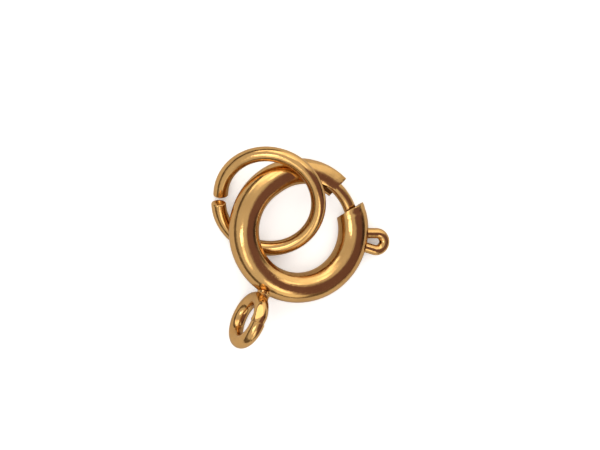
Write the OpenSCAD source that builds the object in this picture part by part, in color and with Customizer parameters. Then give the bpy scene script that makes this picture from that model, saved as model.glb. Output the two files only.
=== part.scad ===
// Spring ring clasp with an attaching loop soldered on and an open jump ring threaded through it.
// Millimetres, +Z up. The clasp lies on the plane z = 0, and the origin is under the middle of its outline.
// Angles go anticlockwise in the plane of the ring, seen from above, from the side of the trigger.

/* [Ring tube] */
// Outer diameter of the ring
ring_d = 7; // [6.6:0.1:8]
// Diameter of the rolled tube
tube_d = 1.46; // [1.36:0.02:1.6]
// Thickness of the tube's wall
tube_wall = 0.15; // [0.12:0.01:0.18]
// Angle of the open mouth that the bolt comes out of
mouth_angle = 23; // [16:1:28]
// Angle of the end that catches the bolt
catch_angle = 49; // [44:1:60]
// Angle at which the tube starts to narrow towards the catch
taper_angle = 125; // [118:1:132]
// Thickness of the wall at the catch
catch_wall = 0.1; // [0.08:0.01:0.12]
// How far the catch lies inside the ring's outer edge
catch_inset = 0.07; // [0:0.01:0.1]
// Width of the seam along the inside of the ring
seam_gap = 0.05; // [0.03:0.01:0.08]
// Length of the snipped corners at the mouth, where the seam runs out
mouth_snip = 0.26; // [0.2:0.02:0.3]
// Half width of the snipped corners at the mouth
mouth_spread = 0.56; // [0.4:0.02:0.58]
// Length over which the seam stands open at the catch, to let the bolt in
catch_open = 0.9; // [0.7:0.05:1.2]
// Length over which the seam closes behind the catch
catch_close = 0.6; // [0.4:0.05:0.8]

/* [Bolt] */
// Diameter of the bolt
bolt_d = 0.6; // [0.56:0.02:0.62]
// Diameter of the wire that forms the trigger and the bolt's tail
wire_d = 0.5; // [0.44:0.02:0.54]
// Play of the bolt in the catch, on each side
catch_play = 0.09; // [0.08:0.01:0.12]
// How far the bolt lies inside the middle of the catch
bolt_inset = 0.17; // [0.12:0.01:0.17]
// Running clearance of the bolt and the trigger
running_gap = 0.03; // [0.02:0.01:0.05]
// Angle that the bolt reaches into the catch
bolt_overlap = 8; // [5:1:12]
// Angle that the trigger draws the bolt back
travel = 34; // [30:1:40]
// Angle of the trigger with the clasp shut
trigger_angle = -8; // [-14:1:-6]
// Width of the trigger's loop
trigger_w = 1.32; // [1.2:0.02:1.5]
// Angle at which each leg of the trigger leans in on its way to the tube
trigger_pinch = 8; // [2:1:8]
// Reach of the trigger out of the ring
trigger_reach = 1.15; // [0.9:0.05:1.5]
// Length of the bolt's tail inside the spring
tail_length = 1.2; // [0.8:0.1:1.6]

/* [Coil spring] */
// Diameter of the spring's wire
spring_wire = 0.1; // [0.08:0.01:0.12]
// Clearance of the coils inside the tube
spring_gap = 0.06; // [0.05:0.01:0.08]
// Number of coils
spring_turns = 14; // [10:1:18]
// Thickness of the stop that the spring bears on
stop_length = 0.3; // [0.2:0.05:0.4]

/* [Attaching loop] */
// Outer diameter of the attaching loop
loop_d = 2.9; // [2.6:0.1:3.4]
// Diameter of the loop's wire
loop_wire = 0.7; // [0.6:0.02:0.8]
// Angle of the loop on the ring
loop_angle = 240.4; // [230:0.2:250]
// Gap between the loop and the tube, which the solder fills
solder_gap = 0.02; // [0.01:0.01:0.05]
// Diameter of the solder between the loop and the tube
solder_d = 0.66; // [0.5:0.02:0.7]
// Turn of the loop about the line out of the ring
loop_roll = 6.6; // [0:0.2:10]
// Turn of the loop about the ring's axis
loop_turn = 7.2; // [0:0.2:10]
// Width of the closed cut in the loop
loop_cut = 0.04; // [0.02:0.01:0.08]

/* [Jump ring] */
// Outer diameter of the jump ring
jump_d = 5.5; // [5.2:0.1:6]
// Diameter of the jump ring's wire
jump_wire = 0.72; // [0.6:0.02:0.8]
// Sideways offset of the jump ring's two ends
jump_spread = 0.82; // [0.78:0.02:1]
// Chamfer round the jump ring's ends
jump_chamfer = 0.08; // [0.04:0.01:0.12]
// Gap where the jump ring passes under the tube
under_gap = 0.05; // [0.04:0.01:0.08]
// Gap where the jump ring passes over the tube
over_gap = 0.13; // [0.08:0.01:0.16]

/* [Resting pose] */
// Angle by which the ring leans as it lies
rest_lean = 8.9; // [8:0.1:11]
// Direction of the ring's low side
low_side = -10; // [-16:1:-2]

/* [Hidden] */
$fn = 48;
eps = 0.01;

// Place of the ring's centre over the floor, from the middle of the outline
ring_place = [-0.16, 0.84];

// Ring tube
tube_r = tube_d / 2;
bore_r = tube_r - tube_wall;
ring_r = (ring_d - tube_d) / 2;
bolt_r = bolt_d / 2;
catch_bore_r = bolt_r + catch_play;
catch_r = catch_bore_r + catch_wall;
catch_ring_r = ring_d / 2 - catch_inset - catch_r;
taper_steps = 10;
taper_sides = 20;
// Angle that the narrowing part laps over the even one, and how far it stands over it there
taper_lap = 1.5;
lap_step = 0.02;

// Bolt and trigger
wire_r = wire_d / 2;
trigger_r = wire_r - eps;
bolt_ring_r = catch_ring_r - bolt_inset;
bolt_tip = catch_angle + bolt_overlap;
hairpin_r = trigger_w / 2 - wire_r;
bend_x = ring_d / 2 + trigger_reach - trigger_w / 2;
leg_start = [bend_x - hairpin_r * sin(trigger_pinch), hairpin_r * cos(trigger_pinch)];
leg_length = (leg_start.x - bolt_ring_r) / cos(trigger_pinch);
leg_angle = asin(leg_offset(bolt_ring_r) / bolt_ring_r);
back_leg = trigger_angle - leg_angle;
tail_spread = leg_angle + tail_length / bolt_ring_r * 180 / PI;
// Length that the legs bite into the hairpin, and angle that the tail runs on inside the bolt
leg_bite = 0.05;
tail_lap = 1;
slot_w = wire_d + 2 * running_gap;
slot_spread = asin((leg_offset(ring_d / 2) + wire_r + running_gap) / (ring_r + bore_r));

// Coil spring, between the bolt's back leg and the stop
spring_r = bore_r - spring_gap - spring_wire / 2;
stop_angle = loop_angle - 360;
stop_spread = stop_length / ring_r * 180 / PI;
coil_first = back_leg - (wire_r + running_gap + spring_wire) / ring_r * 180 / PI;
coil_last = stop_angle + (stop_length / 2 + spring_wire) / ring_r * 180 / PI;
coil_steps = 12;
coil_sides = 6;

// Attaching loop, soldered into the tube's wall
loop_r = (loop_d - loop_wire) / 2;
solder_bite = 0.8 * tube_wall;
loop_reach = ring_d / 2 + solder_gap + loop_d / 2;
loop_centre = loop_reach * [cos(loop_angle), sin(loop_angle), 0];
loop_axis = rolled_axis(loop_angle + loop_turn, loop_roll);
cut_angle = loop_cut / loop_r * 180 / PI;

// Jump ring, under the tube on one side and over it on the other
jump_wire_r = jump_wire / 2;
jump_r = (jump_d - jump_wire) / 2;
// Angle on the clasp midway between the two crossings, and the jump ring's own arc between them
jump_side = 138.7;
jump_arc = 168.7;
// Turn from the middle of that arc to the jump ring's opening, and its turn about the line of crossings
jump_opening = 225.4;
jump_roll = -3;
jump_steps = 64;
jump_sides = 20;
jump_bevel = jump_chamfer / (jump_d - jump_wire) * 360 / PI;
jump_drop = jump_spread * jump_arc / 360;
under_rise = -(tube_r + jump_wire_r + under_gap);
over_rise = tube_radius(taper_middle()) + jump_wire_r + over_gap;
span_flat = 2 * jump_r * sin(jump_arc / 2);
span = norm([span_flat, jump_drop]);
span_plan = sqrt(span ^ 2 - (over_rise - under_rise) ^ 2);
span_angle = asin(span_plan / 2 / ring_r);
under_point = on_ring(ring_r, jump_side + span_angle, under_rise);
over_point = on_ring(ring_r, jump_side - span_angle, over_rise);
chord = unit(over_point - under_point);
chord_side = unit(cross(chord, [0, 0, 1]));
chord_up = cross(chord_side, chord);
rolled_up = cos(jump_roll) * chord_up + sin(jump_roll) * chord_side;
slope = asin(jump_drop / span);
jump_along = cos(slope) * chord + sin(slope) * rolled_up;
jump_axis = cos(slope) * rolled_up - sin(slope) * chord;
jump_out = cross(jump_along, jump_axis);
jump_centre = (under_point + over_point) / 2 - jump_r * cos(jump_arc / 2) * jump_out;

// Height of the ring's centre, with the lowest piece on the floor
tube_low = -ring_r * sin(rest_lean) - tube_r;
loop_low = leaning_height(loop_centre) - loop_r * sqrt(1 - leaning_height(loop_axis) ^ 2) - loop_wire / 2;
jump_low = min([
    for (i = [0:jump_steps])
        for (p = jump_row(jump_turn(i), jump_wire_r)) leaning_height(p)
]);
ring_rise = -min(tube_low, loop_low, jump_low);

function unit(v) = v / norm(v);
function on_ring(r, angle, z = 0) = [r * cos(angle), r * sin(angle), z];
function rolled_axis(angle, roll) =
    [-sin(angle) * cos(roll), cos(angle) * cos(roll), -sin(roll)];

// Height of a point of the ring's own frame once the ring leans to its low side
function leaning_height(p) =
    cos(rest_lean) * p.z - sin(rest_lean) * (p.x * cos(low_side) + p.y * sin(low_side));

// Share of the taper at an angle: 0 where it starts and 1 at the catch
function taper(angle) = max(0, min(1, (taper_angle - angle) / (taper_angle - catch_angle)));
function taper_middle() = (taper_angle + catch_angle) / 2;
function mix(a, b, t) = a + (b - a) * t;
function tube_radius(angle) = mix(tube_r, catch_r, taper(angle));
function tube_bore(angle) = mix(bore_r, catch_bore_r, taper(angle));
function tube_ring(angle) = mix(ring_r, catch_ring_r, taper(angle));

// Distance of the trigger's legs from its middle line, at a distance from the ring's axis
function leg_offset(x) = leg_start.y - (leg_start.x - x) * tan(trigger_pinch);

// Half width of the seam where the tube narrows, at a length from the catch
function open_seam(length) =
    max(seam_gap / 2 - eps, (bolt_r + running_gap) * min(1, (catch_open + catch_close - length) / catch_close));

// Turns along the jump ring's wire from the middle of the stretch inside the clasp, between its bevels
function jump_turn(i) = mix(jump_opening - 360 + jump_bevel, jump_opening - jump_bevel, i / jump_steps);
function jump_radial(turn) = cos(turn) * jump_out + sin(turn) * jump_along;
function jump_point(turn) =
    jump_centre + jump_r * jump_radial(turn) - jump_spread * turn / 360 * jump_axis;

// One outline of the jump ring's wire, at a turn
function jump_row(turn, r) = [
    for (j = [0:jump_sides - 1])
        let (a = 360 * j / jump_sides)
            jump_point(turn) + r * cos(a) * jump_radial(turn) + r * sin(a) * jump_axis
];

// End of a round wire of n sides, and end of a rolled sheet of n faces from its outside to its bore
function wire_cap(n) = [[for (j = [0:n - 1]) j]];
function sheet_cap(n) = [for (j = [0:n - 1]) [j, j + 1, 2 * n - j, 2 * n + 1 - j]];

// Closed skin over a row of like outlines, each end closed by the faces in caps
module skin(rows, caps) {
    n = len(rows[0]);
    last = len(rows) - 1;
    points = [for (row = rows) each row];
    walls = [
        for (i = [0:last - 1], j = [0:n - 1])
            let (k = (j + 1) % n)
                each [[i * n + j, i * n + k, (i + 1) * n + k], [i * n + j, (i + 1) * n + k, (i + 1) * n + j]]
    ];
    first_cap = [for (cap = caps) [for (k = [len(cap) - 1:-1:0]) cap[k]]];
    last_cap = [for (cap = caps) [for (k = cap) last * n + k]];
    polyhedron(points, concat(walls, first_cap, last_cap), convexity = 6);
}

// Round bar of radius r bent along the ring, from one angle on by a spread
module bent_bar(bend_r, r, from, spread) {
    rotate_extrude(angle = spread, start = from, $fn = 144)
        translate([bend_r, 0])
            circle(r = r, $fn = 96);
}

// Rolled sheet of the tube where its section stays the same, open at the seam on the inside of the ring
module even_tube() {
    rotate_extrude(angle = 360 + mouth_angle - taper_angle, start = taper_angle, $fn = 144)
        translate([ring_r, 0])
            difference() {
                circle(r = tube_r, $fn = 96);
                circle(r = bore_r, $fn = 96);
                translate([-tube_r - eps, -seam_gap / 2])
                    square([tube_r, seam_gap]);
            }
}

// One outline of the rolled sheet where the tube narrows: round the outside, then back along the bore
function taper_row(angle) =
    let (outer = tube_radius(angle) + lap_step)
    let (inner = tube_bore(angle) - lap_step)
    let (half_seam = open_seam((angle - catch_angle) * PI / 180 * tube_ring(angle)))
    concat(
        [for (j = [0:taper_sides]) taper_point(angle, outer, half_seam, j / taper_sides)],
        [for (j = [taper_sides:-1:0]) taper_point(angle, inner, half_seam, j / taper_sides)]
    );

// Point at a share of the way round a section, from one edge of the seam to the other
function taper_point(angle, r, half_seam, share) =
    let (edge = asin(half_seam / r))
    let (a = mix(edge - 180, 180 - edge, share))
    on_ring(tube_ring(angle) + r * cos(a), angle, r * sin(a));

module narrowing_tube() {
    rows = [
        for (i = [0:taper_steps])
            taper_row(mix(catch_angle, taper_angle + taper_lap, i / taper_steps))
    ];
    skin(rows, sheet_cap(taper_sides));
}

// Slot along the outside of the tube for the trigger's legs, as long as its travel
module trigger_slot() {
    from = trigger_angle - slot_spread - travel;
    rotate_extrude(angle = 2 * slot_spread + travel, start = from, $fn = 144)
        translate([ring_r + bore_r / 2, -slot_w / 2])
            square([tube_r, slot_w]);
}

// Snipped corners of the rolled sheet, where the seam runs out at the mouth
module mouth_corners() {
    rotate(mouth_angle)
        translate([ring_r - tube_r - eps, 0, 0])
            rotate([0, 90, 0])
                linear_extrude(tube_r)
                    polygon([[-mouth_spread, eps], [0, -mouth_snip], [mouth_spread, eps]]);
}

module attaching_loop() {
    translate(loop_centre)
        rotate(loop_angle + loop_turn)
            rotate([-loop_roll, 0, 0])
                rotate([90, 0, 0])
                    rotate_extrude(angle = 360 - cut_angle, start = 90 + cut_angle / 2, $fn = 144)
                        translate([loop_r, 0])
                            circle(d = loop_wire, $fn = 96);
}

module solder() {
    rotate(loop_angle)
        translate([ring_d / 2 - solder_bite, 0, 0])
            rotate([0, 90, 0])
                cylinder(d = solder_d, h = solder_bite + solder_gap + loop_wire / 2);
}

module spring_stop() {
    bent_bar(ring_r, bore_r + tube_wall / 2, stop_angle - stop_spread / 2, stop_spread);
}

// The ring lies on the floor, leaning to its low side
module rest_pose() {
    translate([ring_place.x, ring_place.y, ring_rise])
        rotate(low_side)
            rotate([0, rest_lean, 0])
                rotate(-low_side)
                    children();
}

module clasp_body() {
    color("#d8a545")
        rest_pose() {
            difference() {
                even_tube();
                trigger_slot();
                mouth_corners();
            }
            narrowing_tube();
            attaching_loop();
            solder();
            spring_stop();
        }
}

// The bolt, a pinched hairpin that stands out of the slot as its trigger, and a tail in the spring
module bolt() {
    color("#e0b050")
        rest_pose() {
            bent_bar(bolt_ring_r, bolt_r, trigger_angle, bolt_tip - trigger_angle);
            bent_bar(bolt_ring_r, wire_r, trigger_angle - tail_spread, tail_spread + tail_lap);
            rotate(trigger_angle) {
                for (side = [-1, 1])
                    translate([leg_start.x, side * leg_start.y, 0])
                        rotate([0, -90, side * trigger_pinch])
                            translate([0, 0, -leg_bite])
                                cylinder(r = trigger_r - eps, h = leg_bite + leg_length);
                translate([bend_x, 0, 0])
                    bent_bar(hairpin_r, trigger_r, -90 - trigger_pinch, 180 + 2 * trigger_pinch);
            }
        }
}

// One outline of the spring's wire, at a turn of the coil
function coil_row(i) =
    let (share = i / (spring_turns * coil_steps))
    let (angle = mix(coil_first, coil_last, share))
    let (turn = 360 * i / coil_steps)
    let (out = cos(turn) * on_ring(1, angle) + sin(turn) * [0, 0, 1])
    let (forward = on_ring(1, angle - 90))
    [
        for (j = [0:coil_sides - 1])
            let (a = 360 * j / coil_sides)
                on_ring(ring_r, angle) + (spring_r + spring_wire / 2 * cos(a)) * out
                    + spring_wire / 2 * sin(a) * forward
    ];

module coil_spring() {
    color("#c9c5bc")
        rest_pose()
            skin([for (i = [0:spring_turns * coil_steps]) coil_row(i)], wire_cap(coil_sides));
}

module jump_ring() {
    rows = concat(
        [jump_row(jump_opening - 360, jump_wire_r - jump_chamfer)],
        [for (i = [0:jump_steps]) jump_row(jump_turn(i), jump_wire_r)],
        [jump_row(jump_opening, jump_wire_r - jump_chamfer)]
    );
    color("#dcaa4c")
        rest_pose()
            skin(rows, wire_cap(jump_sides));
}

clasp_body();
bolt();
coil_spring();
jump_ring();
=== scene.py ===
import bmesh
import bpy
import math
from mathutils import Matrix, Vector


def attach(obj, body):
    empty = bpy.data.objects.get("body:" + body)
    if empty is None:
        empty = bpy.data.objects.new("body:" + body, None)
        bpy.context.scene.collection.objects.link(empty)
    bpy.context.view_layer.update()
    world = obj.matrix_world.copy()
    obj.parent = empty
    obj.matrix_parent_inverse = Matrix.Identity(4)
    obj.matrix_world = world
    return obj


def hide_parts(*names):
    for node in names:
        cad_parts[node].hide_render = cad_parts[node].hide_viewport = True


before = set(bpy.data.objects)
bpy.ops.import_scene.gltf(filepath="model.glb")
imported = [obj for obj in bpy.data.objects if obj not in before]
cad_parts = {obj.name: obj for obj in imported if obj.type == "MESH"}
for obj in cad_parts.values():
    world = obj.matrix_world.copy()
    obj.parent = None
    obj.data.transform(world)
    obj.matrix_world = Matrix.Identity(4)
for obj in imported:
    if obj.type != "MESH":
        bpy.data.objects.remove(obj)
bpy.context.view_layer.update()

# Pieces are modelled in millimetres round the ring's own centre, with the ring flat in XY,
# and then laid on the floor as the clasp rests there
rest = {
    "centre": (-0.16, 0.84, 1.16),
    "lean": 8.9,
    "lowSide": -10,
}
ringTilt = (
    Matrix.Rotation(math.radians(rest["lowSide"]), 4, "Z")
    @ Matrix.Rotation(math.radians(rest["lean"]), 4, "Y")
    @ Matrix.Rotation(math.radians(-rest["lowSide"]), 4, "Z")
)
restPose = Matrix.Scale(0.001, 4) @ Matrix.Translation(rest["centre"]) @ ringTilt


# Handwork helpers

def cleanStart():
    if bpy.context.object and bpy.context.object.mode != "OBJECT":
        bpy.ops.object.mode_set(mode="OBJECT")
    bpy.ops.object.select_all(action="DESELECT")


def soloSelect(piece):
    cleanStart()
    piece.select_set(True)
    bpy.context.view_layer.objects.active = piece


def onRing(radius, degrees, height=0.0):
    turn = math.radians(degrees)
    return Vector((radius * math.cos(turn), radius * math.sin(turn), height))


# Degrees round the ring, from 0 to 360, and degrees round a section whose centre runs at a radius
def turnOf(point):
    return math.degrees(math.atan2(point.y, point.x)) % 360


def sideOf(point, radius):
    return math.degrees(math.atan2(point.z, math.hypot(point.x, point.y) - radius)) % 360


# Selects the verts, edges or faces whose middle passes a test
def pick(piece, kind, test):
    bpy.ops.mesh.select_mode(type=kind)
    bpy.ops.mesh.select_all(action="DESELECT")
    mesh = bmesh.from_edit_mesh(piece.data)
    if kind == "VERT":
        for vert in mesh.verts:
            vert.select_set(bool(test(vert.co)))
    elif kind == "EDGE":
        for edge in mesh.edges:
            edge.select_set(bool(test(edge)))
    else:
        for face in mesh.faces:
            face.select_set(bool(test(face.calc_center_median())))
    mesh.select_flush_mode()
    bmesh.update_edit_mesh(piece.data)


def middle(edge):
    return (edge.verts[0].co + edge.verts[1].co) / 2


# A round section standing across the ring at an angle, ready to spin
def sectionCircle(name, sides, wireRadius, ringRadius, degrees, fill):
    cleanStart()
    bpy.ops.mesh.primitive_circle_add(
        vertices=sides, radius=wireRadius, fill_type=fill,
        location=onRing(ringRadius, degrees),
        rotation=(math.radians(90), 0, math.radians(degrees)),
    )
    piece = bpy.context.object
    piece.name = name
    bpy.ops.object.transform_apply(location=True, rotation=True, scale=True)
    bpy.ops.object.mode_set(mode="EDIT")
    bpy.ops.mesh.select_all(action="SELECT")
    return piece


# Spins the selected section about a standing axis, clockwise seen from above for a positive angle
def spinOn(degrees, steps, centre=(0, 0, 0)):
    bpy.ops.mesh.spin(
        steps=steps, angle=math.radians(abs(degrees)), center=centre,
        axis=(0, 0, 1 if degrees > 0 else -1),
    )


# Carries the selected section on round the ring, row by row, as its place and size change:
# each row is its angle, the radius that its centre runs at and its size
def sweepOn(rows):
    degrees, ring, size = rows[0]
    for newDegrees, newRing, newSize in rows[1:]:
        newCentre = onRing(newRing, newDegrees)
        bpy.ops.mesh.extrude_region_move(
            TRANSFORM_OT_translate={"value": newCentre - onRing(ring, degrees)})
        bpy.ops.transform.rotate(
            value=math.radians(degrees - newDegrees), orient_axis="Z", center_override=newCentre)
        factor = newSize / size
        bpy.ops.transform.resize(value=(factor, factor, factor), center_override=newCentre)
        degrees, ring, size = newDegrees, newRing, newSize


# Cuts the faces that pass a test along the plane through three points, and clears the waste side.
# With two points, the plane also runs straight out from the ring's axis
def snip(piece, test, points, waste):
    first, second = points[:2]
    third = points[2] if len(points) == 3 else first + Vector((first.x, first.y, 0))
    pick(piece, "FACE", test)
    normal = (second - first).cross(third - first).normalized()
    if normal.dot(waste - first) < 0:
        normal = -normal
    bpy.ops.mesh.bisect(plane_co=first, plane_no=normal, clear_outer=True, use_fill=False)


def applyModifier(piece, kind, **settings):
    soloSelect(piece)
    modifier = piece.modifiers.new(kind.lower(), kind)
    for name, value in settings.items():
        setattr(modifier, name, value)
    bpy.ops.object.modifier_apply(modifier=modifier.name)


def outwardNormals(piece):
    soloSelect(piece)
    bpy.ops.object.mode_set(mode="EDIT")
    bpy.ops.mesh.select_all(action="SELECT")
    bpy.ops.mesh.remove_doubles(threshold=0.0005)
    bpy.ops.mesh.normals_make_consistent(inside=False)
    bpy.ops.object.mode_set(mode="OBJECT")


# Lays a piece in its resting place, at the object's own size in metres
def layDown(piece, pose, smoothDegrees=35):
    soloSelect(piece)
    piece.matrix_world = pose
    bpy.ops.object.transform_apply(location=True, rotation=True, scale=True)
    bpy.ops.object.shade_smooth_by_angle(angle=math.radians(smoothDegrees))
    bpy.ops.object.select_all(action="DESELECT")


# Camera, from the photograph: nearly straight down, the ring a little right of the middle
cameraLook = {
    "right": (0.98591, 0.00988, 0.16696),
    "up": (-0.00586, 0.99968, -0.02453),
    "toViewer": (-0.16715, 0.0232, 0.98566),
    "distance": 0.3,
    "pixelsPerMm": 20.8,
    "shiftPixels": (1.3, 5.2),
    "pictureWidth": 600,
    "sensorMm": 36,
    "clip": (0.01, 50),
}


def placeCamera(look):
    right, up, back = (Vector(look[key]).normalized() for key in ("right", "up", "toViewer"))
    perMm = look["pixelsPerMm"]
    target = Vector(rest["centre"]) + (right * look["shiftPixels"][0] + up * look["shiftPixels"][1]) / perMm
    place = target * 0.001 + back * look["distance"]
    turn = Matrix((right, up, back)).transposed().to_4x4()
    bpy.ops.object.camera_add()
    camera = bpy.context.object
    camera.name = "photo_camera"
    camera.matrix_world = Matrix.Translation(place) @ turn
    camera.data.sensor_width = look["sensorMm"]
    camera.data.lens = look["sensorMm"] * look["distance"] * 1000 / (look["pictureWidth"] / perMm)
    camera.data.clip_start, camera.data.clip_end = look["clip"]
    bpy.context.scene.camera = camera
    print("stage: camera")


placeCamera(cameraLook)


# Node helpers

def linearColour(text):
    parts = [int(text[i:i + 2], 16) / 255 for i in (1, 3, 5)]
    return tuple(c / 12.92 if c <= 0.04045 else ((c + 0.055) / 1.055) ** 2.4 for c in parts) + (1.0,)


# Adds a node: text keys are its settings or sockets, number keys are sockets by place
def addNode(tree, kind, settings=None, links=None):
    node = tree.nodes.new(kind)
    for name, value in (settings or {}).items():
        if isinstance(name, str) and hasattr(node, name):
            setattr(node, name, value)
        else:
            node.inputs[name].default_value = value
    for name, source in (links or {}).items():
        tree.links.new(source, node.inputs[name])
    return node


# Bright gold plate over brass: mirror-like, with the soft ripple of rolled sheet
# or drawn wire, hairlines along the wire and a breath of darker tarnish
goldFinish = {
    "gold": "#D6A96A",
    "tarnish": "#A97A45",
    "tarnishShare": 0.35,
    "tarnishMm": 2.0,
    "tarnishRange": (0.45, 0.75),
    "edgeTint": "#ECE2D0",
    "coat": 0.25,
    "coatRoughness": 0.1,
    "roughness": 0.14,
    "dullRange": (0.75, 1.3),
    "rippleMm": 1.1,
    "rippleHeightMm": 0.018,
    "hairlineMm": 0.13,
    "hairlineHeightMm": 0.006,
    "hairlineTurn": 0.25,
    "grainMm": 0.14,
    "grainHeightMm": 0.003,
}


# Pattern coordinates in millimetres, in the frame that the piece was modelled in
def pieceCoordinates(tree, pose):
    back = (pose.to_3x3() @ Matrix.Scale(1000, 3)).transposed()
    offset = -(back @ (pose.to_translation() * 1000))
    where = addNode(tree, "ShaderNodeTexCoord")
    mapping = addNode(tree, "ShaderNodeMapping", {
        "vector_type": "POINT",
        "Location": offset,
        "Rotation": back.to_euler("XYZ"),
        "Scale": (1000, 1000, 1000),
    }, {"Vector": where.outputs["Object"]})
    return mapping.outputs["Vector"]


# The same place as distance from the axis, height and a slow turn, so that lines run along the wire
def alongWire(tree, coordinates, turnShare):
    parts = addNode(tree, "ShaderNodeSeparateXYZ", None, {0: coordinates})
    x, y, z = (parts.outputs[i] for i in range(3))
    square = addNode(tree, "ShaderNodeMath", {"operation": "MULTIPLY"}, {0: x, 1: x})
    both = addNode(tree, "ShaderNodeMath", {"operation": "MULTIPLY_ADD"}, {0: y, 1: y, 2: square.outputs[0]})
    radius = addNode(tree, "ShaderNodeMath", {"operation": "SQRT"}, {0: both.outputs[0]})
    turn = addNode(tree, "ShaderNodeMath", {"operation": "ARCTAN2"}, {0: y, 1: x})
    slow = addNode(tree, "ShaderNodeMath", {"operation": "MULTIPLY", 1: turnShare}, {0: turn.outputs[0]})
    joined = addNode(tree, "ShaderNodeCombineXYZ", None, {0: radius.outputs[0], 1: slow.outputs[0], 2: z})
    return joined.outputs[0]


def goldPlate(name, pose, changes=None):
    look = dict(goldFinish, **(changes or {}))
    material = bpy.data.materials.new(name)
    material.use_nodes = True
    tree = material.node_tree
    shader = tree.nodes["Principled BSDF"]
    shader.inputs["Metallic"].default_value = 1.0
    shader.inputs["Specular Tint"].default_value = linearColour(look["edgeTint"])
    shader.inputs["Coat Weight"].default_value = look["coat"]
    shader.inputs["Coat Roughness"].default_value = look["coatRoughness"]
    place = pieceCoordinates(tree, pose)
    wire = alongWire(tree, place, look["hairlineTurn"])

    ripple = addNode(tree, "ShaderNodeTexNoise", {
        "Scale": 1 / look["rippleMm"], "Detail": 1.5, "Roughness": 0.45}, {"Vector": place})
    rippleBump = addNode(tree, "ShaderNodeBump", {
        "Strength": 1.0, "Distance": look["rippleHeightMm"] * 0.001}, {"Height": ripple.outputs["Fac"]})
    hairline = addNode(tree, "ShaderNodeTexNoise", {
        "Scale": 1 / look["hairlineMm"], "Detail": 2.0, "Roughness": 0.6}, {"Vector": wire})
    hairlineBump = addNode(tree, "ShaderNodeBump", {
        "Strength": 1.0, "Distance": look["hairlineHeightMm"] * 0.001},
        {"Height": hairline.outputs["Fac"], "Normal": rippleBump.outputs["Normal"]})
    grain = addNode(tree, "ShaderNodeTexNoise", {
        "Scale": 1 / look["grainMm"], "Detail": 2.0, "Roughness": 0.5}, {"Vector": place})
    grainBump = addNode(tree, "ShaderNodeBump", {
        "Strength": 1.0, "Distance": look["grainHeightMm"] * 0.001},
        {"Height": grain.outputs["Fac"], "Normal": hairlineBump.outputs["Normal"]})
    tree.links.new(grainBump.outputs["Normal"], shader.inputs["Normal"])

    # Tarnish in soft patches
    patches = addNode(tree, "ShaderNodeTexNoise", {
        "Scale": 1 / look["tarnishMm"], "Detail": 3.0, "Roughness": 0.6}, {"Vector": place})
    clean, dark = look["tarnishRange"]
    share = addNode(tree, "ShaderNodeMapRange", {
        "interpolation_type": "SMOOTHSTEP", "From Min": clean, "From Max": dark,
        "To Min": 0.0, "To Max": look["tarnishShare"]}, {"Value": patches.outputs["Fac"]})
    colour = addNode(tree, "ShaderNodeMix", {
        "data_type": "RGBA", 6: linearColour(look["gold"]), 7: linearColour(look["tarnish"])},
        {0: share.outputs["Result"]})
    tree.links.new(colour.outputs[2], shader.inputs["Base Color"])

    # Handling leaves the plate a little duller in places
    bright, dull = look["dullRange"]
    rough = addNode(tree, "ShaderNodeMapRange", {
        "From Min": 0.3, "From Max": 0.7, "To Min": look["roughness"] * bright,
        "To Max": look["roughness"] * dull}, {"Value": grain.outputs["Fac"]})
    tree.links.new(rough.outputs["Result"], shader.inputs["Roughness"])
    return material


# Spring wire, hard drawn steel: grey, with the fine mottle that the die leaves on it
springFinish = {
    "dark": "#8D8A84",
    "light": "#B9B6AE",
    "mottleMm": 0.03,
    "roughness": (0.25, 0.45),
}


def springSteel(name, pose, look):
    material = bpy.data.materials.new(name)
    material.use_nodes = True
    tree = material.node_tree
    shader = tree.nodes["Principled BSDF"]
    shader.inputs["Metallic"].default_value = 1.0
    place = pieceCoordinates(tree, pose)
    mottle = addNode(tree, "ShaderNodeTexNoise", {
        "Scale": 1 / look["mottleMm"], "Detail": 2.0}, {"Vector": place})
    colour = addNode(tree, "ShaderNodeMix", {
        "data_type": "RGBA", 6: linearColour(look["dark"]), 7: linearColour(look["light"])},
        {0: mottle.outputs["Fac"]})
    smooth, dull = look["roughness"]
    rough = addNode(tree, "ShaderNodeMapRange", {
        "To Min": smooth, "To Max": dull}, {"Value": mottle.outputs["Fac"]})
    tree.links.new(colour.outputs[2], shader.inputs["Base Color"])
    tree.links.new(rough.outputs["Result"], shader.inputs["Roughness"])
    return material


def dress(piece, materials, node, body):
    for place, material in enumerate(materials):
        if place < len(piece.data.materials):
            piece.data.materials[place] = material
        else:
            piece.data.materials.append(material)
    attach(piece, body)
    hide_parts(node)


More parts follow.
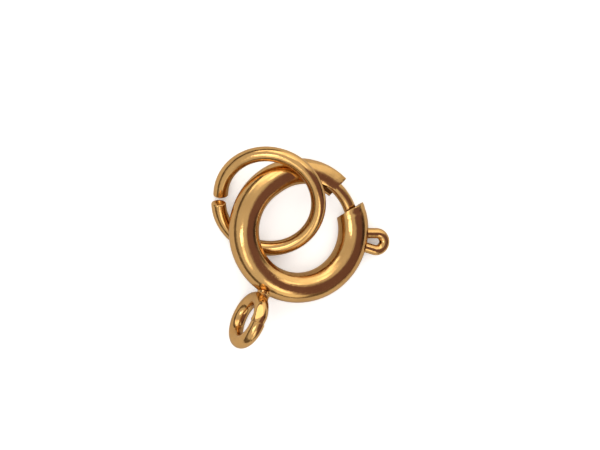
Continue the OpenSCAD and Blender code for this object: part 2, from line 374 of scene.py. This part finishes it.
# Ring tube, rolled from sheet: open at the seam on the inside of the ring, with a mouth where the
# bolt comes out, a slot for the trigger and an end that narrows to catch the bolt
ringTube = {
    "sides": 96,
    "tubeRadius": 0.73,
    "ringRadius": 2.77,
    "wall": 0.15,
    "mouthAngle": 23.5,
    "taperAngle": 125,
    "catchAngle": 49,
    "catchRadius": 0.49,
    "catchRing": 2.94,
    "catchWall": 0.1,
    "taperSoft": 0.1,
    "thinFrom": 40,
    "stepAngle": 1.5,
    "sameRow": 0.3,
    "seamGap": 0.05,
    "seamReach": 0.08,
    "seamOpen": ((43, 0.33), (66.5, 0.32), (72.5, 0.17), (78.5, 0.03)),
    # the saw ran aslant through the opening: where each cut is, and radius, angle and height of three
    # points on it
    "cuts": (
        (42, 56, ((3.447, 46.6, 0.08), (2.573, 50.2, 0.44), (2.45, 46.0, -0.33))),
        (6, 25, ((3.43, 23.3, 0.2), (2.52, 23.1, 0.686), (2.32, 16.0, -0.575))),
    ),
    "openingMiddle": 35,
    "slotTo": 2.75,
    "slotFrom": -52.75,
    "slotSide": 22.5,
    "slotCorner": 7.5,
    "mouthSnip": 0.38,
    "mouthSpread": 52,
    "snipMargin": 4,
    "mouthRows": (0.978, 0.983, 0.987, 0.985, 0.975, 0.992),
    "flatFrom": 94,
    "flatFull": 58,
    "flatSide": 104,
    "flatShare": 0.75,
    "slopeSide": 25,
    "slopeShare": 0.7,
    "flareFrom": 46.5,
    "flareTo": 58,
    "flareMove": (0.3, 0.02),
    "flareReach": 0.4,
    "flareLow": -0.36,
    "flareHigh": -0.26,
    "flareInside": 2.6,
    "edgeRound": 0.022,
}


def taperShare(tube, degrees):
    share = min(1, (tube["taperAngle"] - degrees) / (tube["taperAngle"] - tube["catchAngle"]))
    soft = tube["taperSoft"]
    return (math.hypot(share, soft) - soft) / (math.hypot(1, soft) - soft)


# Angle, centre radius and size of the tube where it narrows
def taperRow(tube, degrees):
    share = taperShare(tube, degrees)
    ring, radius = tube["ringRadius"], tube["tubeRadius"]
    return degrees, ring + (tube["catchRing"] - ring) * share, radius + (tube["catchRadius"] - radius) * share


def buildRingTube(tube):
    ring, radius, mouth = tube["ringRadius"], tube["tubeRadius"], tube["mouthAngle"]
    piece = sectionCircle("ring_tube", tube["sides"], radius, ring, mouth, "NOTHING")

    # The seam: the sheet's edges stand close together on the inside of the ring
    inner = onRing(ring - radius, mouth)
    pick(piece, "VERT", lambda co: (co - inner).length < 0.01)
    bpy.ops.mesh.delete(type="VERT")
    lift = radius * math.sin(math.radians(360 / tube["sides"])) - tube["seamGap"] / 2
    for side in (-1, 1):
        pick(piece, "VERT", lambda co: (co - inner).length < tube["seamReach"] and co.z * side > 0)
        bpy.ops.transform.translate(value=(0, 0, -side * lift))

    # Round the ring at one section, past both ends of the slot, then row by row where it narrows
    bpy.ops.mesh.select_all(action="SELECT")
    stops = (mouth, tube["slotTo"], tube["slotFrom"], tube["taperAngle"] - 360)
    for start, stop in zip(stops, stops[1:]):
        spinOn(start - stop, round((start - stop) / tube["stepAngle"]))
    pick(piece, "VERT", lambda co: abs(turnOf(co) - tube["taperAngle"]) < tube["sameRow"])
    stops = [tube["taperAngle"]] + [degrees for degrees, half in reversed(tube["seamOpen"])]
    rows = [taperRow(tube, tube["taperAngle"])]
    for start, stop in zip(stops, stops[1:]):
        count = round((start - stop) / tube["stepAngle"])
        rows += [taperRow(tube, start + (stop - start) * row / count) for row in range(1, count + 1)]
    sweepOn(rows)
    print("stage: ring tube rolled")

    # The cutting wheel left the rim a little smaller, with a faint groove behind it
    step = (mouth - tube["slotTo"]) / round((mouth - tube["slotTo"]) / tube["stepAngle"])
    for row, factor in enumerate(tube["mouthRows"]):
        degrees = mouth - row * step
        pick(piece, "VERT", lambda co: abs(turnOf(co) - degrees) < tube["sameRow"])
        bpy.ops.transform.resize(value=(factor, factor, factor), center_override=onRing(ring, degrees))

    # The slot, as long as the trigger's travel, with its corners cut
    slotSide, slotCorner = tube["slotSide"], tube["slotCorner"]

    def inSlot(co):
        turn = (turnOf(co) + 180) % 360 - 180
        side = abs((sideOf(co, ring) + 180) % 360 - 180)
        atEnd = min(turn - tube["slotFrom"], tube["slotTo"] - turn) < tube["stepAngle"]
        return tube["slotFrom"] < turn < tube["slotTo"] and side < slotSide - (slotCorner if atEnd else 0)

    pick(piece, "FACE", inSlot)
    bpy.ops.mesh.delete(type="FACE")
    for end, away in ((tube["slotTo"], -1), (tube["slotFrom"], 1)):
        for side in (-1, 1):
            def atSide(angle, degrees):
                turn = math.radians(angle)
                return onRing(ring + radius * math.cos(turn), degrees, side * radius * math.sin(turn))

            def inCorner(co):
                turn = (turnOf(co) + 180) % 360 - 180
                around = (sideOf(co, ring) + 180) % 360 - 180
                return (0 < (turn - end) * away < tube["stepAngle"]
                        and slotSide - slotCorner < around * side < slotSide)

            first = atSide(slotSide - slotCorner, end)
            second = atSide(slotSide, end + away * tube["stepAngle"])
            snip(piece, inCorner, (first, second), atSide(0, end + away * 5))

    # Snipped corners of the sheet where the seam runs out at the mouth
    back = mouth - math.degrees(tube["mouthSnip"] / ring)
    for side in (-1, 1):
        turn = math.radians(180 - tube["mouthSpread"])
        rim = onRing(ring + radius * math.cos(turn), mouth, side * radius * math.sin(turn))
        snip(piece, lambda co: turnOf(co) > back - tube["snipMargin"]
             and turnOf(co) < mouth + 1 and co.z * side > 0 and math.hypot(co.x, co.y) < ring,
             (onRing(ring - radius, back), rim), onRing(ring - radius, mouth))

    # The seam stands open behind the catch to let the bolt in, and closes in a curve
    for (start, startHalf), (stop, stopHalf) in zip(tube["seamOpen"], tube["seamOpen"][1:]):
        for side in (-1, 1):
            rowRing, rowSize = taperRow(tube, start)[1:]
            first = onRing(rowRing - rowSize, start, side * startHalf)
            second = onRing(rowRing - rowSize, stop, side * stopHalf)
            snip(piece, lambda co: start < turnOf(co) < stop and co.z * side > 0
                 and math.hypot(co.x, co.y) < taperRow(tube, turnOf(co))[1],
                 (first, second), onRing(rowRing - rowSize, start))

    # The aslant cuts at both sides of the opening
    for start, stop, points in tube["cuts"]:
        snip(piece, lambda co: start < turnOf(co) < stop, [onRing(*point) for point in points],
             onRing(ring, tube["openingMiddle"]))

    # Pressed behind the catch: a long slope outside, and flat from its crease to the seam's edge
    crease = math.radians(tube["flatSide"])
    half = math.radians(tube["flatSide"] - tube["slopeSide"]) / 2
    for degrees, rowRing, rowSize in rows:
        if degrees < tube["flatFrom"]:
            press = min(1, (tube["flatFrom"] - degrees) / (tube["flatFrom"] - tube["flatFull"]))
            pick(piece, "VERT", lambda co: abs(turnOf(co) - degrees) <= tube["stepAngle"] / 2
                 and tube["flatSide"] < sideOf(co, rowRing) < 180)
            bpy.ops.transform.resize(
                value=(1, 1, 1 - press * tube["flatShare"]),
                center_override=(0, 0, rowSize * math.sin(crease)))

            out = onRing(1, degrees)
            normal = out * math.cos(crease - half) + Vector((0, 0, math.sin(crease - half)))
            level = onRing(rowRing, degrees) + normal * rowSize * math.cos(half)
            along = Vector((0, 0, 1)).cross(out)
            pick(piece, "VERT", lambda co: abs(turnOf(co) - degrees) <= tube["stepAngle"] / 2
                 and tube["slopeSide"] < sideOf(co, rowRing) < tube["flatSide"]
                 and (co - level).dot(normal) > 0)
            bpy.ops.transform.resize(
                value=(1, 1, 1 - press * tube["slopeShare"]), center_override=level, orient_type="GLOBAL",
                orient_matrix=Matrix((normal.cross(along), along, normal)).transposed(),
                orient_matrix_type="GLOBAL", constraint_axis=(False, False, True))

    # The lower sheet is spread inwards behind the catch
    inward, down = tube["flareMove"]
    pick(piece, "VERT", lambda co: tube["flareFrom"] < turnOf(co) < tube["flareTo"]
         and tube["flareLow"] < co.z < tube["flareHigh"] and math.hypot(co.x, co.y) < tube["flareInside"])
    bpy.ops.transform.translate(
        value=onRing(-inward, (tube["flareFrom"] + tube["flareTo"]) / 2, down),
        use_proportional_edit=True, proportional_edit_falloff="SMOOTH",
        proportional_size=tube["flareReach"], use_proportional_connected=True)

    bpy.ops.object.mode_set(mode="OBJECT")
    outwardNormals(piece)

    # Wall thickness, thinner towards the catch, with the inside as a surface of its own
    for side in range(2):
        piece.data.materials.append(None)
    walls = piece.vertex_groups.new(name="wall")
    for vert in piece.data.vertices:
        turn = turnOf(vert.co)
        share = taperShare(tube, turn) if tube["thinFrom"] < turn < tube["taperAngle"] else 0
        walls.add([vert.index], 1 - share * (1 - tube["catchWall"] / tube["wall"]), "REPLACE")
    applyModifier(piece, "SOLIDIFY", thickness=tube["wall"], offset=-1, use_rim=True, vertex_group="wall",
                  material_offset=1)
    applyModifier(piece, "BEVEL", width=tube["edgeRound"], segments=2, limit_method="ANGLE",
                  angle_limit=math.radians(50), use_clamp_overlap=True)
    print("stage: ring tube cut and thickened")
    return piece


# Attaching loop: a closed ring of round wire with its cut on top
attachingLoop = {
    "sides": 64,
    "steps": 200,
    "wireRadius": 0.35,
    "loopRadius": 1.1,
    "loopAngle": 240.4,
    # past the ring's outside and a little solder to the loop's own middle
    "reach": 3.5 + 0.02 + 1.45,
    "turn": 7.2,
    "roll": 6.6,
    "cutWidth": 0.012,
    "cutStep": (0.0, -0.03, 0.03),
    "cutEnd": 91.5,
    "cutReach": 0.35,
    "edgeRound": 0.03,
    "flatAt": (112, 42),
    "flatDepth": 0.045,
    "flatReach": 0.8,
}


def loopPose(loop):
    return (
        Matrix.Translation(onRing(loop["reach"], loop["loopAngle"]))
        @ Matrix.Rotation(math.radians(loop["loopAngle"] + loop["turn"]), 4, "Z")
        @ Matrix.Rotation(math.radians(-loop["roll"]), 4, "X")
        @ Matrix.Rotation(math.radians(90), 4, "X")
    )


def closeEnds(piece, test, edgeRound):
    pick(piece, "EDGE", lambda edge: edge.is_boundary and test(middle(edge)))
    bpy.ops.mesh.edge_face_add()
    bpy.ops.mesh.select_mode(type="EDGE")
    bpy.ops.mesh.region_to_loop()
    bpy.ops.mesh.bevel(offset=edgeRound, segments=3, profile=0.5, affect="EDGES", clamp_overlap=True)


def buildAttachingLoop(loop):
    cut = loop["cutWidth"] / loop["loopRadius"] * 180 / math.pi
    piece = sectionCircle(
        "attaching_loop", loop["sides"], loop["wireRadius"], loop["loopRadius"], 90 - cut / 2, "NOTHING")
    spinOn(360 - cut, loop["steps"])
    for side in (-1, 1):
        closeEnds(piece, lambda co: 0 < (turnOf(co) - 90) * side < 5, loop["edgeRound"])
    bpy.ops.object.mode_set(mode="OBJECT")
    outwardNormals(piece)
    soloSelect(piece)
    bpy.ops.object.mode_set(mode="EDIT")

    # Dressed flat with a file between the solder and the cut, whose ends don't quite meet
    turn, side = (math.radians(angle) for angle in loop["flatAt"])
    out = Vector((math.cos(turn), math.sin(turn), 0))
    normal = out * math.cos(side) + Vector((0, 0, math.sin(side)))
    place = out * loop["loopRadius"] + normal * (loop["wireRadius"] - loop["flatDepth"])
    across = normal.cross(out).normalized()
    frameTurn = Matrix((across, normal.cross(across), normal)).transposed()
    pick(piece, "VERT", lambda co: (co - place).dot(normal) > 0 and (co - place).length < loop["flatReach"])
    bpy.ops.transform.resize(
        value=(1, 1, 0), orient_type="GLOBAL", orient_matrix=frameTurn, orient_matrix_type="GLOBAL",
        constraint_axis=(False, False, True), center_override=place)
    pick(piece, "VERT", lambda co: 90 < turnOf(co) < loop["cutEnd"])
    bpy.ops.transform.translate(
        value=loop["cutStep"], use_proportional_edit=True, proportional_edit_falloff="SMOOTH",
        proportional_size=loop["cutReach"], use_proportional_connected=True)
    bpy.ops.object.mode_set(mode="OBJECT")
    soloSelect(piece)
    piece.matrix_world = loopPose(loop)
    bpy.ops.object.transform_apply(location=True, rotation=True, scale=True)
    print("stage: attaching loop")
    return piece


# Solder between the tube and the loop: a waisted neck with a small lump where it ran
solderNeck = {
    "sides": 32,
    # distance from the ring's axis and radius of each row
    "rows": (
        (3.34, 0.40), (3.42, 0.38), (3.48, 0.345), (3.53, 0.325),
        (3.60, 0.33), (3.68, 0.36), (3.78, 0.40), (3.9, 0.36),
    ),
    "lumpSize": 0.28,
    "lumpHeight": 0.05,
}


def buildSolder(solder, loop):
    first = solder["rows"][0]
    cleanStart()
    bpy.ops.mesh.primitive_circle_add(
        vertices=solder["sides"], radius=first[1], fill_type="NGON",
        location=(first[0], 0, 0), rotation=(0, math.radians(90), 0))
    piece = bpy.context.object
    piece.name = "solder_joint"
    bpy.ops.object.transform_apply(location=True, rotation=True, scale=True)
    bpy.ops.object.mode_set(mode="EDIT")
    bpy.ops.mesh.select_all(action="SELECT")
    reach, size = first
    for newReach, newSize in solder["rows"][1:]:
        bpy.ops.mesh.extrude_region_move(TRANSFORM_OT_translate={"value": (newReach - reach, 0, 0)})
        factor = newSize / size
        bpy.ops.transform.resize(value=(1, factor, factor), center_override=(newReach, 0, 0))
        reach, size = newReach, newSize
    bpy.ops.object.mode_set(mode="OBJECT")
    outwardNormals(piece)
    applyModifier(piece, "SUBSURF", levels=2, render_levels=2)
    texture = bpy.data.textures.new("solder_lumps", "CLOUDS")
    texture.noise_scale = solder["lumpSize"]
    applyModifier(piece, "DISPLACE", texture=texture, strength=solder["lumpHeight"] * 2,
                  mid_level=0.5, texture_coords="LOCAL")
    soloSelect(piece)
    piece.matrix_world = Matrix.Rotation(math.radians(loop["loopAngle"]), 4, "Z")
    bpy.ops.object.transform_apply(location=True, rotation=True, scale=True)
    print("stage: solder")
    return piece


# Spring stop inside the tube, set a little way into its wall
springStop = {
    "sides": 48,
    "halfWidth": 0.15,
    "outOfWall": 0.6,
    "edgeRound": 0.02,
}


def buildSpringStop(stop, tube, loop):
    half = stop["halfWidth"] / tube["ringRadius"] * 180 / math.pi
    radius = tube["tubeRadius"] - tube["wall"] * stop["outOfWall"]
    piece = sectionCircle(
        "spring_stop", stop["sides"], radius, tube["ringRadius"], loop["loopAngle"] + half, "NOTHING")
    spinOn(2 * half, 3)
    for side in (-1, 1):
        closeEnds(piece, lambda co: (turnOf(co) - loop["loopAngle"]) * side > half * 0.9, stop["edgeRound"])
    bpy.ops.object.mode_set(mode="OBJECT")
    outwardNormals(piece)
    return piece


# Bolt and trigger, bent from one wire: the bolt bridges the opening, thins inside the tube, and
# turns out of the slot into a pinched hairpin
boltWire = {
    "sides": 48,
    "boltRadius": 0.3,
    "wireRadius": 0.25,
    "ringRadius": 2.77,
    "tipAngle": 57,
    "thinFrom": 9,
    "thinTo": 4,
    "triggerAngle": -8,
    "pinch": 8,
    "hairpinReach": 3.99,
    "hairpinRadius": 0.41,
    "innerBend": 0.3,
    "tailEnd": -37.8,
    "tipRound": 0.12,
    "stepAngle": 1.5,
    "thinRows": 5,
    "bendSteps": 16,
    "legRows": 5,
    "hairpinSteps": 44,
    "endReach": 0.33,
}


def buildBolt(bolt):
    trigger = Matrix.Rotation(math.radians(bolt["triggerAngle"]), 4, "Z")
    pinch = math.radians(bolt["pinch"])
    bend, ring = bolt["innerBend"], bolt["ringRadius"]
    reach, turnRadius = bolt["hairpinReach"], bolt["hairpinRadius"]

    # Where the bends meet the leaning legs, in the trigger's own directions
    legTop = Vector((reach - turnRadius * math.sin(pinch), turnRadius * math.cos(pinch), 0))
    legLine = Vector((math.cos(pinch), math.sin(pinch), 0))
    legSide = Vector((-math.sin(pinch), math.cos(pinch), 0))
    lean = math.asin((bend + legTop.dot(legSide)) / (ring + bend))
    bendTurn = bolt["pinch"] + math.degrees(lean)
    bendCentre = onRing(ring + bend, bendTurn)
    bendSweep = 90 - math.degrees(lean)
    legRun = legLine * (legTop.dot(legLine) - bendCentre.dot(legLine))
    mirrored = Matrix.Scale(-1, 4, (0, 1, 0))

    piece = sectionCircle("bolt_wire", bolt["sides"], bolt["boltRadius"], ring, bolt["tipAngle"], "NOTHING")
    sweep = bolt["tipAngle"] - bolt["thinFrom"]
    spinOn(sweep, round(sweep / bolt["stepAngle"]))
    rows = bolt["thinRows"]
    sweepOn([(
        bolt["thinFrom"] + (bolt["thinTo"] - bolt["thinFrom"]) * row / rows, ring,
        bolt["boltRadius"] + (bolt["wireRadius"] - bolt["boltRadius"]) * row / rows,
    ) for row in range(rows + 1)])
    spinOn(bolt["thinTo"] - bolt["triggerAngle"] - bendTurn, 2)
    spinOn(-bendSweep, bolt["bendSteps"], trigger @ bendCentre)
    legRows = bolt["legRows"]
    for run in range(legRows):
        bpy.ops.mesh.extrude_region_move(TRANSFORM_OT_translate={"value": trigger @ legRun / legRows})
    spinOn(180 + 2 * bolt["pinch"], bolt["hairpinSteps"], trigger @ Vector((reach, 0, 0)))
    for run in range(legRows):
        bpy.ops.mesh.extrude_region_move(
            TRANSFORM_OT_translate={"value": -(trigger @ mirrored @ legRun) / legRows})
    spinOn(-bendSweep, bolt["bendSteps"], trigger @ mirrored @ bendCentre)
    tail = bolt["triggerAngle"] - bendTurn - bolt["tailEnd"]
    spinOn(tail, round(tail / bolt["stepAngle"]))
    for end in (onRing(ring, bolt["tipAngle"]), onRing(ring, bolt["tailEnd"])):
        closeEnds(piece, lambda co: (co - end).length < bolt["endReach"], bolt["tipRound"])
    bpy.ops.object.mode_set(mode="OBJECT")
    outwardNormals(piece)
    print("stage: bolt and trigger")
    return piece


# Jump ring: one turn of round wire, its two ends sprung apart sideways
jumpRing = {
    "sides": 48,
    "wireRadius": 0.36,
    "ringRadius": 2.39,
    "spread": 0.82,
    "opening": 225.4,
    "steps": 200,
    "edgeRound": 0.07,
    "centre": (-1.5237, 1.3463, -0.0309),
    "axis": (-0.39448, -0.36998, 0.84113),
    "out": (0.73402, -0.67755, 0.04621),
}


def jumpPose(jump):
    axis = Vector(jump["axis"]).normalized()
    out = Vector(jump["out"])
    out = (out - axis * out.dot(axis)).normalized()
    along = axis.cross(out)
    turn = Matrix((out, along, axis)).transposed().to_4x4()
    return Matrix.Translation(jump["centre"]) @ turn


def buildJumpRing(jump):
    start = jump["opening"] - 360
    piece = sectionCircle(
        "jump_ring_wire", jump["sides"], jump["wireRadius"], jump["ringRadius"], start, "NOTHING")
    bpy.ops.transform.translate(value=(0, 0, -jump["spread"] * start / 360))
    bpy.ops.object.mode_set(mode="OBJECT")
    applyModifier(piece, "SCREW", angle=math.radians(360), screw_offset=-jump["spread"],
                  steps=jump["steps"], render_steps=jump["steps"], axis="Z", use_merge_vertices=False)
    soloSelect(piece)
    bpy.ops.object.mode_set(mode="EDIT")
    ends = [onRing(jump["ringRadius"], start, -jump["spread"] * turn / 360) for turn in (start, start + 360)]
    for end in ends:
        closeEnds(piece, lambda co: (co - end).length < jump["wireRadius"] * 1.05, jump["edgeRound"])
    bpy.ops.object.mode_set(mode="OBJECT")
    outwardNormals(piece)
    soloSelect(piece)
    piece.matrix_world = jumpPose(jump)
    bpy.ops.object.transform_apply(location=True, rotation=True, scale=True)
    print("stage: jump ring")
    return piece


tubePiece = buildRingTube(ringTube)
loopPiece = buildAttachingLoop(attachingLoop)
solderPiece = buildSolder(solderNeck, attachingLoop)
stopPiece = buildSpringStop(springStop, ringTube, attachingLoop)
boltPiece = buildBolt(boltWire)
jumpPiece = buildJumpRing(jumpRing)
for finished in (tubePiece, loopPiece, solderPiece, stopPiece, boltPiece, jumpPiece):
    layDown(finished, restPose)

loopFrame = restPose @ loopPose(attachingLoop)
jumpFrame = restPose @ jumpPose(jumpRing)
rolledBrass = goldPlate("gold_plated_rolled_brass", restPose)
# Inside the tube the plate is rougher and darker: the rougher finish is real, the darker gold and tarnish
# colours are painted shade in the tube's hollow
insideBrassWithPaintedShade = goldPlate("dull_plate_with_painted_shade_inside_the_tube", restPose, {
    "gold": "#B98E52", "tarnish": "#7E5630", "roughness": 0.5, "coat": 0.0})
dress(tubePiece, [rolledBrass, insideBrassWithPaintedShade], "clasp_body", "clasp")
dress(loopPiece, [goldPlate("gold_plated_brass_loop", loopFrame)], "clasp_body", "clasp")
dress(solderPiece, [goldPlate("gold_plated_solder", restPose)], "clasp_body", "clasp")
# The spring stop sits inside the tube and takes the same darker plate, its colour painted shade
dress(stopPiece, [insideBrassWithPaintedShade], "clasp_body", "clasp")
dress(boltPiece, [goldPlate("gold_plated_brass_wire", restPose)], "bolt", "bolt")
dress(jumpPiece, [goldPlate("gold_plated_jump_ring", jumpFrame)], "jump_ring", "clasp")
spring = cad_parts["coil_spring"]
steel = springSteel("drawn_spring_steel", restPose, springFinish)
for slot in spring.material_slots:
    slot.material = steel
print("stage: finishes")

# Floor and light: a plain pale floor under a soft studio. Directions are the azimuth round the camera's
# axis, anticlockwise from the right of the picture, and the angle off that axis
studio = {
    "floor": "#EAE9E8",
    "floorSize": 6,
    "floorRoughness": 0.9,
    "floorSpecular": 0.2,
    "floorGlow": 0.6,
    "openReach": 0.0018,
    "openRange": (0.15, 0.45),
    "horizon": (0.17, 0.14, 0.11, 1),
    "ceiling": (0.80, 0.78, 0.74, 1),
    "ceilingFrom": 0.28,
    "ceilingTo": 0.42,
    "backdrop": (0.86, 0.86, 0.85, 1),
    # azimuth, angle off the axis, radius and softness in degrees, and radiance
    "patches": (
        (-18, 60, 37, 7, (0.22, 0.128, 0.14, 1)),
        (-4, 86, 9, 7, (0.06, 0.045, 0.045, 1)),
        (52, 78, 24, 10, (1.3, 1.25, 1.1, 1)),
        (75, 50, 22, 8, (1.75, 1.65, 1.45, 1)),
        (90, 50, 9, 5, (2.6, 2.5, 2.2, 1)),
        (60, 36, 7, 4, (2.8, 2.6, 2.3, 1)),
        (32, 50, 7, 4, (2.2, 2.1, 1.9, 1)),
        (122, 54, 6, 4, (2.4, 2.3, 2.1, 1)),
        (290, 50, 9, 5, (2.5, 2.35, 2.1, 1)),
        (285, 72, 12, 6, (1.2, 1.15, 1.0, 1)),
        (240, 33, 8, 5, (2.4, 2.3, 2.1, 1)),
        (111, 56, 7, 5, (2.3, 2.15, 1.9, 1)),
    ),
    "keySide": 208,
    "keyOffAxis": 22,
    "keySize": (0.09, 0.16),
    "keyDistance": 0.4,
    "keyPower": 0.15,
}


# The direction at an azimuth and an angle off the camera's axis
def studioDirection(azimuth, offAxis):
    right, up, back = (Vector(cameraLook[key]).normalized() for key in ("right", "up", "toViewer"))
    a, o = math.radians(azimuth), math.radians(offAxis)
    return back * math.cos(o) + (right * math.cos(a) + up * math.sin(a)) * math.sin(o)


def layFloor(look):
    cleanStart()
    bpy.ops.mesh.primitive_plane_add(size=look["floorSize"], location=(0, 0, 0))
    floor = bpy.context.object
    floor.name = "floor"
    material = bpy.data.materials.new("pale_matt_paper")
    material.use_nodes = True
    tree = material.node_tree
    shader = tree.nodes["Principled BSDF"]
    shader.inputs["Base Color"].default_value = linearColour(look["floor"])
    shader.inputs["Roughness"].default_value = look["floorRoughness"]
    shader.inputs["Specular IOR Level"].default_value = look["floorSpecular"]
    # Painted light: the paper glows for camera rays only, overexposed as paper is under product light,
    # without that glare reaching the metal; the glow fades out as painted shade in the places that the clasp
    # shuts off from the light
    path = addNode(tree, "ShaderNodeLightPath")
    openness = addNode(tree, "ShaderNodeAmbientOcclusion", {"Distance": look["openReach"], "samples": 8})
    shut, clear = look["openRange"]
    share = addNode(tree, "ShaderNodeMapRange", {
        "From Min": shut, "From Max": clear, "To Max": look["floorGlow"]}, {"Value": openness.outputs["AO"]})
    glow = addNode(tree, "ShaderNodeMath", {"operation": "MULTIPLY"},
                   {0: path.outputs["Is Camera Ray"], 1: share.outputs["Result"]})
    shader.inputs["Emission Color"].default_value = (1, 1, 1, 1)
    tree.links.new(glow.outputs[0], shader.inputs["Emission Strength"])
    floor.data.materials.append(material)


def studioWorld(look):
    world = bpy.data.worlds.new("soft_studio")
    bpy.context.scene.world = world
    world.use_nodes = True
    tree = world.node_tree
    for node in list(tree.nodes):
        tree.nodes.remove(node)
    ray = addNode(tree, "ShaderNodeTexCoord").outputs["Generated"]

    # Ceiling that darkens towards the horizon
    parts = addNode(tree, "ShaderNodeSeparateXYZ", None, {0: ray})
    height = addNode(tree, "ShaderNodeMapRange", {
        "interpolation_type": "SMOOTHSTEP", "From Min": look["ceilingFrom"], "From Max": look["ceilingTo"]},
        {"Value": parts.outputs[2]})
    sky = addNode(tree, "ShaderNodeMix", {
        "data_type": "RGBA", 6: look["horizon"], 7: look["ceiling"]}, {0: height.outputs["Result"]})
    colour = sky.outputs[2]

    # The dark side of the room, and lamps and windows as round patches with soft edges
    for azimuth, offAxis, radius, soft, radiance in look["patches"]:
        near = addNode(tree, "ShaderNodeVectorMath", {
            "operation": "DOT_PRODUCT", 1: studioDirection(azimuth, offAxis)}, {0: ray})
        share = addNode(tree, "ShaderNodeMapRange", {
            "interpolation_type": "SMOOTHSTEP",
            "From Min": math.cos(math.radians(radius + soft)),
            "From Max": math.cos(math.radians(max(radius - soft, 0)))}, {"Value": near.outputs["Value"]})
        mix = addNode(tree, "ShaderNodeMix", {"data_type": "RGBA", 7: radiance},
                      {0: share.outputs["Result"], 6: colour})
        colour = mix.outputs[2]
    light = addNode(tree, "ShaderNodeBackground", {"Strength": 1.0}, {"Color": colour})
    plain = addNode(tree, "ShaderNodeBackground", {"Color": look["backdrop"], "Strength": 1.0})
    path = addNode(tree, "ShaderNodeLightPath")
    either = addNode(tree, "ShaderNodeMixShader", None, {
        0: path.outputs["Is Camera Ray"], 1: light.outputs[0], 2: plain.outputs[0]})
    addNode(tree, "ShaderNodeOutputWorld", None, {"Surface": either.outputs[0]})


def keyLight(look):
    middle = Vector(rest["centre"]) * 0.001
    place = middle + studioDirection(look["keySide"], look["keyOffAxis"]) * look["keyDistance"]
    bpy.ops.object.light_add(type="AREA", location=place)
    lamp = bpy.context.object
    lamp.name = "softbox"
    lamp.data.shape = "RECTANGLE"
    lamp.data.size, lamp.data.size_y = look["keySize"]
    lamp.data.energy = look["keyPower"]
    lamp.rotation_euler = (place - middle).to_track_quat("Z", "Y").to_euler()


layFloor(studio)
studioWorld(studio)
keyLight(studio)
scene = bpy.context.scene
scene.view_settings.view_transform = "Standard"
scene.view_settings.look = "None"
print("stage: floor and light")
